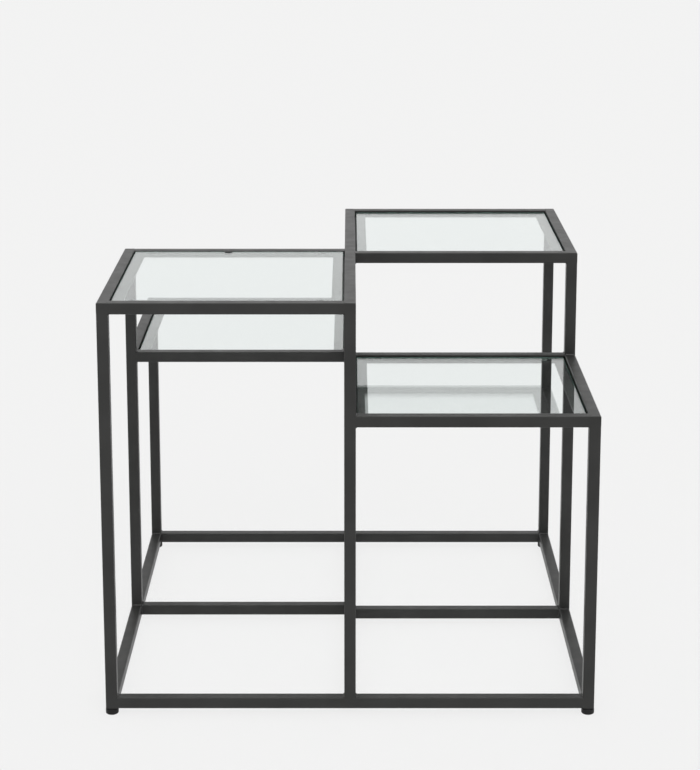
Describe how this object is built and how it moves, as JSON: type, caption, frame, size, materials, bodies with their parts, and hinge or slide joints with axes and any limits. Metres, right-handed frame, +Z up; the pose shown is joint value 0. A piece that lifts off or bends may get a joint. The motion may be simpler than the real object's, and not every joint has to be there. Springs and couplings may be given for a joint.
{
  "type": "two-level glass side table",
  "caption": "Square-tube table frame in black with inset clear glass tops at two heights in a checkerboard, on screw feet; the panes lift out.",
  "frame": {"origin": "on the floor, under the middle of the frame", "axes": "+Z up, -Y towards the front, +X to the right seen from the front"},
  "size_m": [0.642, 0.642, 0.555],
  "materials": {
    "frame": "satin black powder coat",
    "ledge": "satin black powder coat",
    "glass": "clear float glass with ground edges",
    "pad": "clear soft silicone",
    "foot": "moulded black plastic",
    "stud": "zinc plated",
    "insert": "moulded black plastic"
  },
  "bodies": {
    "frame": {"back_left_ledges": "ledge", "back_left_pads": "pad", "back_left_top_back_rail": "frame", "back_left_top_front_rail": "frame", "back_left_top_left_rail": "frame", "back_left_top_right_rail": "frame", "back_right_ledges": "ledge", "back_right_pads": "pad", "back_right_top_back_rail": "frame", "back_right_top_front_rail": "frame", "back_right_top_left_rail": "frame", "back_right_top_right_rail": "frame", "bottom_rail_back": "frame", "bottom_rail_centre": "frame", "bottom_rail_front": "frame", "bottom_rail_left": "frame", "bottom_rail_mid_left": "frame", "bottom_rail_mid_right": "frame", "bottom_rail_right": "frame", "centre_post_back": "frame", "centre_post_front": "frame", "front_left_ledges": "ledge", "front_left_pads": "pad", "front_left_top_back_rail": "frame", "front_left_top_front_rail": "frame", "front_left_top_left_rail": "frame", "front_left_top_right_rail": "frame", "front_right_ledges": "ledge", "front_right_pads": "pad", "front_right_top_back_rail": "frame", "front_right_top_front_rail": "frame", "front_right_top_left_rail": "frame", "front_right_top_right_rail": "frame", "leg_back_centre": "frame", "leg_back_left": "frame", "leg_back_right": "frame", "leg_front_centre": "frame", "leg_front_left": "frame", "leg_front_right": "frame", "leg_inserts": "insert", "leg_mid_left": "frame", "leg_mid_right": "frame", "rail_end_plates": "frame"},
    "pane_front_left": {"front_left_glass": "glass"},
    "pane_front_right": {"front_right_glass": "glass"},
    "pane_back_left": {"back_left_glass": "glass"},
    "pane_back_right": {"back_right_glass": "glass"},
    "levelling_foot_front_left": {"foot_front_left": "foot", "foot_stud_front_left": "stud"},
    "levelling_foot_front_right": {"foot_front_right": "foot", "foot_stud_front_right": "stud"},
    "levelling_foot_back_left": {"foot_back_left": "foot", "foot_stud_back_left": "stud"},
    "levelling_foot_back_right": {"foot_back_right": "foot", "foot_stud_back_right": "stud"}
  },
  "joints": [
    {"name": "front_left_pane_lift", "type": "slide", "parent": "frame", "child": "pane_front_left", "axis": [0, 0, 1], "range_m": [0, 0.06]},
    {"name": "front_right_pane_lift", "type": "slide", "parent": "frame", "child": "pane_front_right", "axis": [0, 0, 1], "range_m": [0, 0.18]},
    {"name": "back_left_pane_lift", "type": "slide", "parent": "frame", "child": "pane_back_left", "axis": [0, 0, 1], "range_m": [0, 0.18]},
    {"name": "back_right_pane_lift", "type": "slide", "parent": "frame", "child": "pane_back_right", "axis": [0, 0, 1], "range_m": [0, 0.06]},
    {"name": "front_left_foot_screw", "type": "slide", "parent": "frame", "child": "levelling_foot_front_left", "axis": [0, 0, -1], "range_m": [0, 0.008]},
    {"name": "front_right_foot_screw", "type": "slide", "parent": "frame", "child": "levelling_foot_front_right", "axis": [0, 0, -1], "range_m": [0, 0.008]},
    {"name": "back_left_foot_screw", "type": "slide", "parent": "frame", "child": "levelling_foot_back_left", "axis": [0, 0, -1], "range_m": [0, 0.008]},
    {"name": "back_right_foot_screw", "type": "slide", "parent": "frame", "child": "levelling_foot_back_right", "axis": [0, 0, -1], "range_m": [0, 0.008]}
  ]
}
